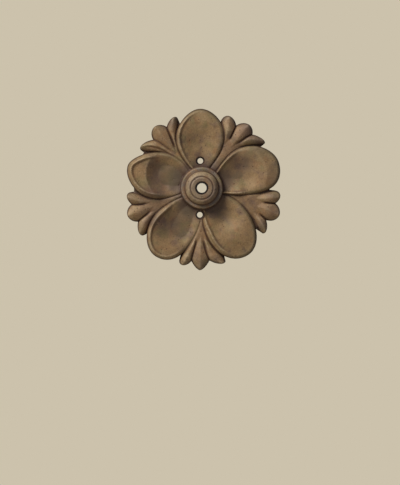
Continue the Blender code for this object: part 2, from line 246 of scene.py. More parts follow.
# Holes, cored with a taper: wider at the face than at the back.
BOLT_HOLE = {"face_radius": 4.1 * MM, "back_radius": 2.9 * MM}
SCREW_HOLE = {"face_radius": 2.7 * MM, "back_radius": 1.7 * MM}
UPPER_SCREW = (-0.9 * MM, 16.4 * MM)
LOWER_SCREW = (-1.2 * MM, -16.3 * MM)
CORE_LENGTH = 4.8 * MM
CORE_PAST = 3 * MM
BORE_MARGIN = 0.1 * MM
HOLE_SEGMENTS = 48

# The height map that the casting is worked out on, and how far the mould softens it.
MAP_STEP = 0.16 * MM
MAP_HALF = 53 * MM
MOULD_SOFTNESS = 0.24 * MM
UNEVENNESS = 0.05 * MM
UNEVEN_WAVES = 28
UNEVEN_SEED = 11
# The lengths of its waves, in millimetres.
UNEVEN_LENGTHS = (3.5, 14)
# A place gets painted shade where it lies below the mean height round it, in a recess or a hollow, and wear
# with a painted highlight where it lies above it, on an edge.
# The mean is over a small, a wider or a broad circle, and these differences give the full mark.
NEAR_RADIUS = 0.6 * MM
WIDE_RADIUS = 2.4 * MM
BROAD_RADIUS = 6 * MM
NEAR_DEPTH = 0.3 * MM
WIDE_DEPTH = 1.6 * MM
BROAD_DEPTH = 3.5 * MM
EDGE_RISE = 0.22 * MM
NEAR_SHARE = 0.7
WIDE_SHARE = 0.3
SEPAL_SOFTNESS = 0.5 * MM
# Painted shade darkens the places round the boss. Its flat foot ring is greyer, with less painted shade and
# less wear and painted highlight than the rest, and the boss inside it is a little dusty.
BOSS_SHADE = 0.4
BOSS_SHADE_REACH = (14 * MM, 27 * MM)
BOSS_FOOT = (10.5 * MM, 12.7 * MM)
FOOT_FLATNESS = 0.6
FOOT_DULLNESS = 0.9
BOSS_DUST = 0.55
# Painted shade lines lie in the boss's grooves: the radius and half-width of each.
BOSS_GROOVES = ((6.85 * MM, 0.36 * MM), (10.2 * MM, 0.5 * MM), (12.9 * MM, 0.36 * MM))

# What the mesh carries for the finish, painted shade and highlights among it.
MARKS = ("recess_shade", "hollow_shade", "edge", "sepal", "dusty", "stain_and_shade", "rust", "olive", "crease_and_rim_shade", "verge_and_shade")
# The low edges of the sepals are darkened below these heights, in a mark that also carries the petals'
# soft-side painted shade.
VERGE_HEIGHTS = (2.6 * MM, 4.4 * MM)

# Soft patches of the finish: where each one is, across and up from the bolt hole, and its size, all in
# millimetres, and its strength. The dark stains are partly stains and partly painted shade and shadow, as at
# the boss's lower right and along the right side of the top petal.
STAIN_AND_SHADE_SPOTS = [
    (-28.5, 15.0, 4.5, 0.6), (-27.5, 4.5, 4.5, 0.6), (-14.5, 6.0, 5.0, 0.4), (-31.0, -2.4, 4.5, 0.8),
    (-24.0, -3.5, 5.5, 0.65), (-26.0, -19.0, 6.0, 0.6), (-18.0, -23.0, 6.5, 0.5), (-10.0, -9.5, 5.0, 0.3),
    (-12.0, 30.5, 5.0, 0.3), (18.5, 17.0, 6.0, 0.3), (25.0, 15.0, 5.5, 0.35), (44.0, 5.0, 5.0, 0.4),
    (27.0, 37.5, 4.0, 0.5), (35.0, 27.5, 5.0, 0.5), (42.5, -14.0, 4.5, 0.35), (36.0, -22.0, 4.0, 0.35),
    (45.0, -5.0, 3.0, 0.35), (0.0, -47.0, 4.0, 0.25), (6.0, -6.0, 3.4, 0.65), (8.8, -0.5, 3.0, 0.6),
    (2.0, -9.0, 3.0, 0.45), (31.0, 31.5, 4.0, 0.35), (20.0, 28.0, 5.0, 0.25), (-28.5, 10.0, 4.0, 0.45),
    (-31.5, -20.7, 3.0, 0.5), (-32.0, -14.0, 3.0, 0.3), (28.5, 35.5, 4.0, 0.45), (36.6, 28.0, 3.5, 0.5),
    (16.2, 43.8, 2.5, 0.6), (12.6, 32.0, 1.8, 0.5), (12.0, 24.9, 2.2, 0.55), (-16.0, 41.0, 3.0, 0.6),
    (-22.3, 37.0, 2.5, 0.4), (-39.0, 25.5, 2.5, 0.35), (-43.0, -8.0, 2.5, 0.3), (8.5, -44.0, 3.0, 0.3),
    (26.0, 15.5, 4.0, 0.3), (20.0, 40.0, 2.5, 0.5), (28.0, 34.0, 4.0, 0.4), (-8.0, 2.5, 4.0, 0.35),
    (-18.8, 38.9, 2.5, 0.45), (26.5, 12.0, 4.5, 0.25), (12.6, 41.5, 2.0, 0.5),
]
RUSTY = [
    (9.0, 33.0, 5.5, 0.2), (37.0, 6.0, 4.5, 0.45), (-37.0, 11.0, 5.5, 0.5), (27.0, -23.0, 4.5, 0.5),
    (-20.5, -36.5, 6.5, 0.4), (20.0, -30.0, 7.0, 0.35), (16.5, 39.0, 3.5, 0.4), (-30.0, 25.0, 4.0, 0.5),
    (-42.0, -13.0, 3.5, 0.4), (36.0, -12.0, 4.0, 0.4), (-25.0, 32.0, 4.0, 0.4), (-32.0, -24.0, 3.0, 0.5),
    (25.0, 36.0, 3.5, 0.6),
]
# Painted highlights: lighter patches on lit parts of the petals and sepals.
PAINTED_HIGHLIGHTS = [
    (8.6, 31.6, 4.5, 0.18), (35.4, 12.2, 4.5, 0.2), (16.0, 35.5, 2.0, 0.5), (14.4, 39.5, 1.8, 0.3),
    (25.0, -24.0, 4.5, 0.12), (-1.0, 32.0, 5.0, 0.1), (30.0, -13.0, 3.0, 0.15), (34.0, -3.0, 3.0, 0.1),
]
OLIVE_PATCHES = [
    (38.0, 22.0, 5.0, 0.6), (46.0, 13.0, 4.0, 0.35), (28.0, 22.0, 4.0, 0.5), (14.5, 43.5, 2.5, 0.7),
    (20.3, 41.5, 2.5, 0.6), (12.9, 16.4, 2.2, 0.5), (-10.0, 45.0, 4.0, 0.4), (4.0, 46.5, 5.0, 0.3),
    (-26.0, 39.0, 3.5, 0.6), (-31.5, 34.5, 2.5, 0.5), (-15.6, 42.0, 3.0, 0.6), (-36.0, 26.0, 3.5, 0.6),
    (-45.0, 14.0, 3.5, 0.5), (-44.0, -4.0, 3.0, 0.4), (-37.0, -26.0, 3.0, 0.5), (45.0, -4.0, 3.0, 0.5),
    (37.5, -25.0, 3.0, 0.5), (0.0, -47.5, 3.5, 0.5), (-11.5, -45.0, 3.0, 0.4), (26.5, -40.0, 4.0, 0.4),
    (34.0, -29.0, 4.0, 0.4), (-20.0, 6.0, 4.0, 0.4), (-22.0, -40.0, 4.0, 0.3), (-2.0, 39.0, 4.0, 0.2),
]

# The mesh: zones of rings from the bolt hole out, with more columns round the rosette in each, then the rings
# down the side, in over the back and up the bore.
BOSS_ZONE = {"end": 13.2 * MM, "rings": 44, "columns": 240}
ROOT_ZONE = {"end": 26 * MM, "rings": 36, "columns": 480}
LEAF_ZONE = {"rings": 62, "columns": 960}
SIDE_RINGS = 3
# How much painted shade the sides, the back and the bolt hole get, as marks of recess.
SIDE_RECESS = 0.3
BACK_RECESS = 0.2
BORE_RECESS = 0.8
# Smooth shading breaks where faces meet more sharply than this, in degrees.
SHARP_ANGLE = 50
# On the back, each ring's radius and columns: the screw holes lie between the third and the fourth.
BACK_RINGS = ((34 * MM, 480), (20 * MM, 240), (18.3 * MM, 240), (14.3 * MM, 240), (5 * MM, 240))
BORE_RINGS = 6
# The rings follow the outline rounded over these degrees, and take on its real shape only near it.
REACH_SOFTNESS = 3
REACH_LATENESS = 4
RING_SQUEEZE = 0.8 * MM
OUTLINE_RANGE = (36 * MM, 52 * MM)
OUTLINE_STEP = 0.02 * MM
INSIDE_FRAME = 0.06 * MM

# The finish: its colours, and how the patterns that lay them on run. Scales are in features to a metre.
PETAL_BROWN = (0.300, 0.194, 0.092, 1)
SEPAL_BROWN = (0.245, 0.148, 0.074, 1)
OLIVE = (0.220, 0.165, 0.070, 1)
RUST = (0.290, 0.160, 0.070, 1)
PURPLE_BROWN = (0.150, 0.095, 0.072, 1)
# Worn iron, also standing for painted highlights on edges and rims.
WORN_AND_HIGHLIGHT = (0.420, 0.315, 0.190, 1)
# Painted shade in hollows and round the boss.
HOLLOW_SHADE = (0.095, 0.062, 0.044, 1)
# Painted shade in recesses, grooves and bores; the same dark is used for real pits.
RECESS_SHADE_AND_PITS = (0.066, 0.032, 0.022, 1)
# Purple-brown for stains and for painted shade and shadow.
STAIN_AND_SHADE_COLOUR = (0.086, 0.054, 0.054, 1)
# Reddish painted shade for creases and rim lines.
REDDISH = (0.090, 0.042, 0.026, 1)
# Dark olive for low sepal edges and for painted shade on the petals' soft sides.
DARK_OLIVE = (0.120, 0.098, 0.050, 1)
DUSTY = (0.188, 0.163, 0.142, 1)
MOSS = (0.165, 0.140, 0.070, 1)
MOTTLES = [
    {"colour": OLIVE, "scale": 130, "offset": (0, 0, 0), "low": 0.48, "high": 0.66, "most": 0.8},
    {"colour": RUST, "scale": 170, "offset": (0.7, 0.4, 0.1), "low": 0.5, "high": 0.68, "most": 0.8},
    {"colour": PURPLE_BROWN, "scale": 150, "offset": (0.3, 0.1, 0.2), "low": 0.5, "high": 0.7, "most": 0.65},
]
PATCHINESS = {"scale": 200, "offset": (0.2, 0.9, 0.5)}
WEAR_AND_HIGHLIGHT_PATTERN = {"scale": 420}
GRAIN = {"scale": 1500, "detail": 3, "roughness": 0.6}
SKIN = {"scale": 500, "detail": 3}
PITS = {"scale": 330, "offset": (0.05, 0, 0.02)}
# Each pattern or mark is stretched from the first two numbers to the last two.
PATCH_SHARES = (0.3, 0.7, 0.6, 1.0)
WEAR_AND_HIGHLIGHT_SHARES = (0.35, 0.65, 0.3, 0.9)
GRAIN_SHADES = (0.3, 0.7, 0.80, 1.16)
GRAIN_ROUGHNESS = (0.2, 0.8, 0.50, 0.68)
HOLLOW_SHARES = (0.1, 1.0, 0.0, 0.8)
RECESS_SHARES = (0.08, 1.0, 0.0, 0.8)
PIT_SHARES = (0.07, 0.16, 1.0, 0.0)
DUST_SHARE = 0.85
VERGE_SHARE = 0.6
CREASE_SHARE = 0.75
PIT_SHADE = 0.55
METALLIC = 0.15
GRAIN_DEPTH = 0.06 * MM
SKIN_DEPTH = 0.12 * MM
PIT_DEPTH = 0.15 * MM

# The picture: 400 by 485 pixels, 0.608 mm of the rosette to a pixel, with the bolt hole at this pixel.
PIXEL = 0.608 * MM
PICTURE = (400, 485)
BOLT_PIXEL = (201.8, 188.0)
LENS = 100
SENSOR = 36

# The stage: pale paper behind and below, dim light from all round, and two lamps, in metres and watts.
PAPER = (0.604, 0.539, 0.413)
AMBIENT = (0.86, 0.86, 0.98)
AMBIENT_STRENGTH = 0.15
FLOOR_LEVEL = -0.45
FLOOR_SIZE = 2.3
FLOOR_ROUGHNESS = 0.9
KEY_LIGHT = {"place": (-0.636, -0.672, 0.7632), "size": 0.6, "watts": 15.0, "colour": (1.0, 0.955, 0.88)}
FILL_LIGHT = {"place": (0.9, -1.2, -0.1), "size": 0.9, "watts": 1.2, "colour": (0.86, 0.88, 1.0)}


def smooth(value, low, high):
    """0 below low and 1 above high, with an eased rise between them."""
    t = np.clip((value - low) / (high - low), 0.0, 1.0)
    return t * t * (3 - 2 * t)


def mix(first, second, share):
    """The value that lies at this share of the way from the first to the second."""
    return first + (second - first) * share


def parabola(places, values, at):
    """The height at one place of the parabola that runs through three points."""
    total = 0
    for i in range(3):
        j, k = (i + 1) % 3, (i + 2) % 3
        part = (at - places[j]) * (at - places[k]) / ((places[i] - places[j]) * (places[i] - places[k]))
        total = total + values[i] * part
    return total


def turned(x, y, degrees):
    """The places along and across a line that points this way from the middle of the rosette."""
    turn = math.radians(degrees)
    return x * math.cos(turn) + y * math.sin(turn), y * math.cos(turn) - x * math.sin(turn)


def petal_outline(petal):
    """The petal's outline as places along and across it, from the root round the tip and back."""
    angles = np.linspace(-math.pi, math.pi, OUTLINE_POINTS)
    along = PETAL_ROOT + (petal["reach"] - PETAL_ROOT) / 2 * (1 + np.cos(angles))
    across = np.zeros_like(along)
    for side, here in (("left", angles >= 0), ("right", angles < 0)):
        swell = [width / math.sqrt(1 - place ** 2) for width, place in zip(petal[side], WIDTH_PLACES)]
        across[here] = np.sin(angles[here]) * parabola(WIDTH_PLACES, swell, np.cos(angles[here]))
    return along, across


def distance_to_line(points_u, points_v, line_u, line_v):
    """The distance of each point from a chain of straight pieces."""
    nearest = np.full(points_u.shape, np.inf)
    for i in range(len(line_u) - 1):
        du, dv = line_u[i + 1] - line_u[i], line_v[i + 1] - line_v[i]
        length = max(du * du + dv * dv, TINY ** 2)
        t = np.clip(((points_u - line_u[i]) * du + (points_v - line_v[i]) * dv) / length, 0, 1)
        gap = (points_u - line_u[i] - t * du) ** 2 + (points_v - line_v[i] - t * dv) ** 2
        nearest = np.minimum(nearest, gap)
    return np.sqrt(nearest)


def petal_shape(petal, x, y):
    """The petal's height, below zero outside it, the distance from its outline, and its marks.

    Its marks are painted shade inside the rim and at the soft side's edge, and a painted highlight on the
    rim.
    """
    u, v = turned(x, y, petal["direction"])
    line_u, line_v = petal_outline(petal)
    angle = np.arctan2(v, u - BOWL_CENTRE)
    line_angle = np.arctan2(line_v, line_u - BOWL_CENTRE)
    line_angle[0], line_angle[-1] = -math.pi, math.pi
    full = np.interp(angle, line_angle, np.hypot(line_u - BOWL_CENTRE, line_v))
    share = np.hypot(u - BOWL_CENTRE, v) / full
    outside = np.where(share > 1, 1.0, -1.0) * FAR
    near = (share > NEAR_OUTLINE[0]) & (share < NEAR_OUTLINE[1])
    gap = distance_to_line(u[near], v[near], line_u, line_v)
    outside[near] = np.where(share[near] > 1, gap, -gap)
    inset = np.maximum(-outside, 0)
    basin = petal["basin"]
    middle_line = basin["left"] * np.clip(u / basin["along"], 0, 1)
    from_end = np.hypot(np.maximum(u - basin["along"], 0), v - middle_line)
    depth = np.clip(from_end / basin["radius"], 0, TIP_FALL)
    inner = np.minimum(depth, 1)
    rise = mix(inner * inner * (3 - 2 * inner), inner ** 3, basin["crisp"])
    middle = mix(basin["floor"], CREST_HEIGHT, rise) - TIP_DROP * smooth(depth, 1.0, TIP_FALL)
    facing = np.radians(petal["direction"] - LIP_FACING) + angle
    raised = smooth(np.cos(facing), *LIP_TURN)
    outwards = smooth(u, *LIP_RISE)
    lip = mix(mix(*LIP_ROOT_HEIGHTS, raised), mix(petal["low_lip"], LIP_HIGH, raised), outwards)
    lip_width = petal["lip"] * mix(LIP_ROOT_SHARE, 1, outwards)
    bead = LIP_BEAD * raised * np.exp(-(((inset - lip_width) / LIP_FALL) ** 2))
    surface = mix(middle, lip, np.clip(share, 0, 1) ** LIP_STEEPNESS) + bead
    outward = np.minimum(inset / mix(SOFT_ROLL, lip_width, raised), 1.0)
    # Painted shade: a dark line inside the beaded rim, and on one petal a low line inside the soft side.
    line = raised * outwards * np.exp(-(((inset - lip_width - RIM_LINE) / RIM_LINE_WIDTH) ** 2))
    if "low_shade_line" in petal:
        low = (1 - raised) * outwards * np.exp(-(((inset - petal["low_shade_line"]) / RIM_LINE_WIDTH) ** 2))
        line = np.maximum(line, low)
    edge = mix(ROOT_EDGE_HEIGHT, EDGE_HEIGHT, smooth(u, *EDGE_FALL))
    height = mix(edge, surface, np.sqrt(1 - (1 - outward) ** 2))
    # Painted highlight: a glint line along the rim where it faces the given way.
    glint = np.zeros(x.shape)
    if "glint" in petal:
        facing = np.cos(np.radians(petal["direction"] - petal["glint"]) + angle)
        glint = smooth(facing, *GLINT_FACING) * np.exp(-(((inset - GLINT_INSET) / GLINT_WIDTH) ** 2))
    # Painted shade at the edge of the soft side.
    dull = (1 - raised) * outwards * (1 - smooth(inset, *SHADED_SIDE_BAND)) * (1 - glint)
    inside = share <= 1
    marks = {"line": line * inside, "dull": dull * inside, "glint": glint * inside}
    return np.where(inside, height, NO_IRON), outside, marks


def lobe_place(lobe, axis, x, y):
    """The places along and to the left of the lobe's path, which bends away from the axis."""
    radius, bearing = np.hypot(x, y), np.degrees(np.arctan2(y, x))
    along, sideways = radius, np.zeros_like(radius)
    for _ in range(PATH_STEPS):
        share = np.clip((along - LOBE_ROOT) / (lobe["reach"] - LOBE_ROOT), 0, 1)
        path = mix(axis, lobe["direction"], mix(LOBE_ROOT_BEND, 1, share ** lobe["curl"]))
        off = np.radians((bearing - path + 180) % 360 - 180)
        along, sideways = radius * np.cos(off), radius * np.sin(off)
    return along, sideways


def lobe_shape(lobe, axis, crest, knob_rise, x, y):
    """The lobe's height: a ridge with a rounded tip."""
    along, sideways = lobe_place(lobe, axis, x, y)
    rounding = TIP_ROUNDING * lobe["half_width"]
    widest = lobe["reach"] - rounding
    tip = np.clip((along - widest) / rounding, 0, 1)
    taper = mix(np.sqrt(1 - tip ** 2), 1 - tip, lobe.get("point", 0))
    root_width = lobe.get("root_width", LOBE_ROOT_WIDTH)
    width = mix(root_width, lobe["half_width"], smooth(along, LOBE_SWELL, widest)) * taper
    inside = (np.abs(sideways) < width) & (along > LOBE_ROOT) & (along < lobe["reach"])
    share = np.clip(np.abs(sideways) / np.maximum(width, TINY), 0, 1)
    sharpness = mix(*lobe.get("sharpness", LOBE_SHARPNESS), smooth(along, LOBE_SWELL, widest))
    section = mix(np.sqrt(1 - share ** 2), 1 - share, sharpness)
    knob = knob_rise * np.exp(-(((along - widest) / lobe["half_width"]) ** 2))
    fullness = np.sqrt(np.minimum(width / lobe["half_width"] * LOBE_FULLNESS, 1.0))
    crown = mix(LOBE_EDGE_HEIGHT, crest + knob, fullness)
    return np.where(inside, mix(LOBE_EDGE_HEIGHT, crown, section), NO_IRON)


def sepal_shapes(x, y):
    """The height of the ground, or of the lobe or body above it, and how deep in a crease each place lies."""
    away = np.hypot(x, y)
    highest = np.where(away < GROUND_RADIUS, GROUND_HEIGHT, NO_IRON)
    creases = np.zeros(x.shape)
    for sepal in SEPALS.values():
        body = dict(BODY, direction=sepal["middle"]["direction"])
        crest = mix(*BODY_HEIGHTS, smooth(away, sepal["split"], sepal["split"] + BODY_FALL))
        highest = np.maximum(highest, lobe_shape(body, sepal["axis"], crest, 0, x, y))
        parted = smooth(away, sepal["split"] - STEM_RISE, sepal["split"] + STEM_RISE)
        lobes = []
        for side in ("right", "middle", "left"):
            crest = mix(STEM_HEIGHT, MIDDLE_LOBE_HEIGHT if side == "middle" else LOBE_HEIGHT, parted)
            lobes.append(lobe_shape(sepal[side], sepal["axis"], crest, KNOB_RISE, x, y))
            highest = np.maximum(highest, lobes[-1])
            if "groove" in sepal[side]:
                along, sideways = lobe_place(sepal[side], sepal["axis"], x, y)
                ends = smooth(along, *GROOVE_START) * (1 - smooth(along, *GROOVE_END))
                line = GROOVE_SHARE * np.exp(-(((sideways - sepal[side]["groove"]) / CREASE_WIDTH) ** 2))
                creases = np.maximum(creases, line * ends * (lobes[-1] > LOBE_EDGE_HEIGHT))
        parting = smooth(away, sepal["split"], sepal["split"] + CREASE_START)
        for depth, first, second in zip(sepal["creases"], lobes[:2], lobes[1:]):
            level = np.exp(-(((first - second) / CREASE_WIDTH) ** 2))
            both = np.minimum(first, second) > LOBE_EDGE_HEIGHT
            creases = np.maximum(creases, depth * level * both * parting)
    return highest - CREASE_DEPTH * creases, creases


def boss_shape(x, y):
    """The boss, turned from its profile."""
    radii = [radius * MM for radius, _ in BOSS_PROFILE]
    heights = [height * MM for _, height in BOSS_PROFILE]
    return np.interp(np.hypot(x, y), radii, heights, right=NO_IRON)


def rosette_shape(x, y):
    """The raw casting: its height, where there is iron at all, and its marks."""
    petals = np.full(x.shape, NO_IRON)
    groove = np.zeros(x.shape)
    marks = {name: np.zeros(x.shape) for name in ("line", "dull", "glint")}
    for petal in PETALS.values():
        height, outside, petal_marks = petal_shape(petal, x, y)
        petals = np.maximum(petals, height)
        groove = np.maximum(groove, np.exp(-((outside / PETAL_GROOVE_WIDTH) ** 2)))
        for name, values in petal_marks.items():
            marks[name] = np.maximum(marks[name], values)
    sepals, creases = sepal_shapes(x, y)
    covered = (sepals > 0) | (petals > 0)
    sepals = sepals * (1 - PETAL_GROOVE_DEPTH * groove)
    others = np.maximum(petals, boss_shape(x, y))
    height = np.maximum(np.maximum(others, sepals), LOBE_EDGE_HEIGHT)
    on_sepal = (sepals >= others).astype(float)
    return height, covered, {
        "sepal": on_sepal,
        # Painted shade in the sepals' creases and on the petals' rim lines.
        "crease_and_rim_shade": np.maximum(creases * on_sepal, RIM_LINE_SHADE * marks["line"] * (1 - on_sepal)),
        "dull": marks["dull"] * (1 - on_sepal),
        "glint": marks["glint"] * (petals >= height),
    }


def blurred(values, weights, radius):
    """The values smoothed over this radius, counting only the places that have weight."""
    rates = np.fft.fftfreq(values.shape[0], MAP_STEP)
    spread = np.exp(-2 * (math.pi * radius) ** 2 * (rates[:, None] ** 2 + rates[None, :] ** 2))
    top = np.fft.ifft2(np.fft.fft2(values * weights) * spread).real
    bottom = np.fft.ifft2(np.fft.fft2(weights) * spread).real
    return top / np.maximum(bottom, LEAST_WEIGHT)


def unevenness(x, y):
    """Slight waves of a hand-made pattern: many sines, the same each run."""
    random = np.random.default_rng(UNEVEN_SEED)
    total = np.zeros(x.shape)
    for _ in range(UNEVEN_WAVES):
        turn, length = random.uniform(0, 2 * math.pi), random.uniform(*UNEVEN_LENGTHS) * MM
        phase = random.uniform(0, 2 * math.pi)
        total += np.sin(2 * math.pi * (x * math.cos(turn) + y * math.sin(turn)) / length + phase)
    return total * UNEVENNESS / math.sqrt(UNEVEN_WAVES / 2)


def sampled(field, x, y):
    """The map's value at each place, between its nearest four points."""
    column, row = (x + MAP_HALF) / MAP_STEP, (y + MAP_HALF) / MAP_STEP
    i, j = np.floor(row).astype(int), np.floor(column).astype(int)
    s, t = row - i, column - j
    low = field[i, j] * (1 - t) + field[i, j + 1] * t
    high = field[i + 1, j] * (1 - t) + field[i + 1, j + 1] * t
    return low * (1 - s) + high * s


def spots(places, x, y):
    """Soft round patches."""
    total = np.zeros(x.shape)
    for across, up, size, strength in places:
        away = np.hypot(x - across * MM, y - up * MM) / (size * MM)
        total = mix(total, 1, strength * np.exp(-away ** 2))
    return total


def make_maps():
    """The softened height, and the marks that the finish uses."""
    line = np.arange(-MAP_HALF, MAP_HALF + MAP_STEP, MAP_STEP)
    x, y = np.meshgrid(line, line)
    height, covered, marks = rosette_shape(x, y)
    iron = covered.astype(float)
    soft = blurred(height, iron, MOULD_SOFTNESS) + unevenness(x, y)
    near = blurred(soft, iron, NEAR_RADIUS)
    wide = blurred(soft, iron, WIDE_RADIUS)
    broad = blurred(soft, iron, BROAD_RADIUS)
    away = np.hypot(x, y)
    on_foot = (away > BOSS_FOOT[0]) & (away < BOSS_FOOT[1])
    # Painted shade round the boss, fading outwards.
    boss_shade = BOSS_SHADE * (1 - smooth(away, *BOSS_SHADE_REACH)) * (away > BOSS_FOOT[1])
    grooves = sum(np.exp(-(((away - groove) / width) ** 2)) for groove, width in BOSS_GROOVES)
    steep = np.clip((near - soft) / NEAR_DEPTH, 0, 1) * NEAR_SHARE
    steep = (steep + np.clip((wide - soft) / WIDE_DEPTH, 0, 1) * WIDE_SHARE) * (1 - FOOT_FLATNESS * on_foot)
    # Edges above their surroundings: wear, partly painted highlight.
    wear_and_highlight = np.clip((soft - near) / EDGE_RISE, 0, 1) * (1 - FOOT_DULLNESS * on_foot)
    return {
        "height": soft,
        # Painted shade where the surface lies below its surroundings, and in the boss's grooves.
        "recess_shade": np.clip(np.maximum(steep, grooves), 0, 1),
        # Painted shade in creases and along rim lines, softened.
        "crease_and_rim_shade": blurred(marks["crease_and_rim_shade"], iron, MOULD_SOFTNESS),
        # Low sepal edges darkened, and painted shade at the petals' soft edges.
        "verge_and_shade": np.maximum(marks["sepal"] * (1 - smooth(soft, *VERGE_HEIGHTS)), marks["dull"]),
        # Painted shade in hollows and round the boss.
        "hollow_shade": np.clip((broad - soft) / BROAD_DEPTH + boss_shade, 0, 1),
        # Edges: wear, with painted highlights from the patches and the rim glints.
        "edge": np.clip(wear_and_highlight + spots(PAINTED_HIGHLIGHTS, x, y) + GLINT_SHARE * marks["glint"], 0, 1),
        "sepal": blurred(marks["sepal"], iron, SEPAL_SOFTNESS),
        "dusty": mix(on_foot, BOSS_DUST, away < BOSS_FOOT[0]),
        # Dark stains, partly painted shade and shadow.
        "stain_and_shade": spots(STAIN_AND_SHADE_SPOTS, x, y),
        "rust": spots(RUSTY, x, y),
        "olive": spots(OLIVE_PATCHES, x, y),
    }


def round_turns(columns):
    """The directions of this many columns."""
    return np.linspace(0, 2 * math.pi, columns, endpoint=False)


def outline_reach(turns):
    """How far the iron reaches each way from the middle."""
    steps = np.arange(*OUTLINE_RANGE, OUTLINE_STEP)
    radius, turn = np.meshgrid(steps, turns)
    _, covered, _ = rosette_shape(radius * np.cos(turn), radius * np.sin(turn))
    last = len(steps) - 1 - np.argmax(covered[:, ::-1], axis=1)
    return steps[last] - INSIDE_FRAME


def softened(reach):
    """The outline with its notches and tips rounded off, for the rings to follow."""
    rates = np.fft.fftfreq(len(reach), 360 / len(reach))
    return np.fft.ifft(np.fft.fft(reach) * np.exp(-2 * (math.pi * REACH_SOFTNESS * rates) ** 2)).real


def face_rings(reach):
    """The radii of all rings over the face, from the bolt hole's mouth to the outline."""
    rings = []
    start = BOLT_HOLE["face_radius"]
    for share in np.linspace(0, 1, BOSS_ZONE["rings"]):
        rings.append(np.full(BOSS_ZONE["columns"], mix(start, BOSS_ZONE["end"], share)))
    for share in np.linspace(0, 1, ROOT_ZONE["rings"] + 1)[1:]:
        rings.append(np.full(ROOT_ZONE["columns"], mix(BOSS_ZONE["end"], ROOT_ZONE["end"], share)))
    soft = softened(reach)
    for share in np.linspace(0, 1, LEAF_ZONE["rings"] + 1)[1:]:
        radius = mix(ROOT_ZONE["end"], mix(soft, reach, share ** REACH_LATENESS), share)
        rings.append(np.minimum(radius, reach - RING_SQUEEZE * (1 - share)))
    return rings


def stitched(first, columns, second, next_columns):
    """The faces between two rings that start at these vertices.

    The second ring has as many columns as the first, twice or half as many.
    """
    if columns > next_columns:
        return [face[::-1] for face in stitched(second, next_columns, first, columns)]
    faces = []
    for j in range(columns):
        near, beside = first + j, first + (j + 1) % columns
        if columns == next_columns:
            faces.append((near, second + j, second + (j + 1) % columns, beside))
            continue
        far = [second + (2 * j + k) % next_columns for k in range(3)]
        faces += [(near, far[0], far[1]), (near, far[1], beside), (beside, far[1], far[2])]
    return faces


def casting_mesh():
    """The whole surface as rings: out over the face, down the side, in over the back and up the bore."""
    maps = make_maps()
    reach = outline_reach(round_turns(LEAF_ZONE["columns"]))
    rings = []
    for radius in face_rings(reach):
        turns = round_turns(len(radius))
        x, y = radius * np.cos(turns), radius * np.sin(turns)
        rings.append([radius] + [sampled(maps[name], x, y) for name in ("height",) + MARKS])
    mouth, rim = rings[0][1], rings[-1][1]
    plain = np.zeros(len(rim))
    for share in np.linspace(0, 1, SIDE_RINGS + 1)[1:]:
        rings.append([reach, rim * (1 - share), plain + SIDE_RECESS] + [plain] * (len(MARKS) - 1))
    for radius, columns in BACK_RINGS:
        plain = np.zeros(columns)
        rings.append([plain + radius, plain, plain + BACK_RECESS] + [plain] * (len(MARKS) - 1))
    for share in np.linspace(0, 1, BORE_RINGS + 1)[:-1]:
        radius = mix(BOLT_HOLE["back_radius"], BOLT_HOLE["face_radius"], share)
        rings.append([plain + radius, mouth * share, plain + BORE_RECESS] + [plain] * (len(MARKS) - 1))
    starts = np.cumsum([0] + [len(ring[0]) for ring in rings])
    faces = []
    for i, ring in enumerate(rings):
        following = (i + 1) % len(rings)
        faces += stitched(int(starts[i]), len(ring[0]), int(starts[following]), len(rings[following][0]))
    turns = np.concatenate([round_turns(len(ring[0])) for ring in rings])
    radius, height, *marks = [np.concatenate([ring[k] for ring in rings]) for k in range(2 + len(MARKS))]
    points = np.stack([radius * np.cos(turns), -height, radius * np.sin(turns)], axis=1)
    mesh = bpy.data.meshes.new("iron_rosette")
    mesh.from_pydata(points.tolist(), [], faces)
    for name, values in zip(MARKS, marks):
        mesh.attributes.new(name, "FLOAT", "POINT").data.foreach_set("value", values)
    mesh.update()
    return mesh


def screw_radius(height):
    """How wide a screw hole is at this height above the back."""
    return mix(SCREW_HOLE["back_radius"], SCREW_HOLE["face_radius"], height / CORE_LENGTH)


def darken_bores(mesh):
    """Paints shade on the walls of the two screw holes, through the recess mark."""
    count = len(mesh.vertices)
    places = np.zeros(3 * count)
    mesh.vertices.foreach_get("co", places)
    places = places.reshape(-1, 3)
    recess_shade = np.zeros(count)
    mesh.attributes["recess_shade"].data.foreach_get("value", recess_shade)
    for place in (UPPER_SCREW, LOWER_SCREW):
        away = np.hypot(places[:, 0] - place[0], places[:, 2] - place[1])
        recess_shade = np.maximum(recess_shade, away < screw_radius(-places[:, 1]) + BORE_MARGIN)
    mesh.attributes["recess_shade"].data.foreach_set("value", recess_shade)


def screw_core(place):
    """A tapered core that runs past both faces, on the axis of a screw hole."""
    depth = CORE_LENGTH + 2 * CORE_PAST
    bpy.ops.mesh.primitive_cone_add(
        vertices=HOLE_SEGMENTS,
        radius1=screw_radius(-CORE_PAST),
        radius2=screw_radius(CORE_LENGTH + CORE_PAST),
        depth=depth,
        location=(place[0], CORE_PAST - depth / 2, place[1]),
        rotation=(math.radians(90), 0, 0),
    )
    core = bpy.context.object
    core.hide_render = True
    return core


def make_casting():
    """The rosette in one piece, with its two screw holes cut through."""
    casting = bpy.data.objects.new("iron_rosette", casting_mesh())
    bpy.context.scene.collection.objects.link(casting)
    cores = [screw_core(UPPER_SCREW), screw_core(LOWER_SCREW)]
    for core in cores:
        cut = casting.modifiers.new("screw_hole", "BOOLEAN")
        cut.operation = "DIFFERENCE"
        cut.object = core
        cut.solver = "EXACT"
    bpy.context.view_layer.update()
    graph = bpy.context.evaluated_depsgraph_get()
    finished = bpy.data.meshes.new_from_object(casting.evaluated_get(graph))
    casting.modifiers.clear()
    casting.data = finished
    for core in cores:
        bpy.data.objects.remove(core)
    darken_bores(finished)
    finished.shade_smooth()
    finished.set_sharp_from_angle(angle=math.radians(SHARP_ANGLE))
    return casting


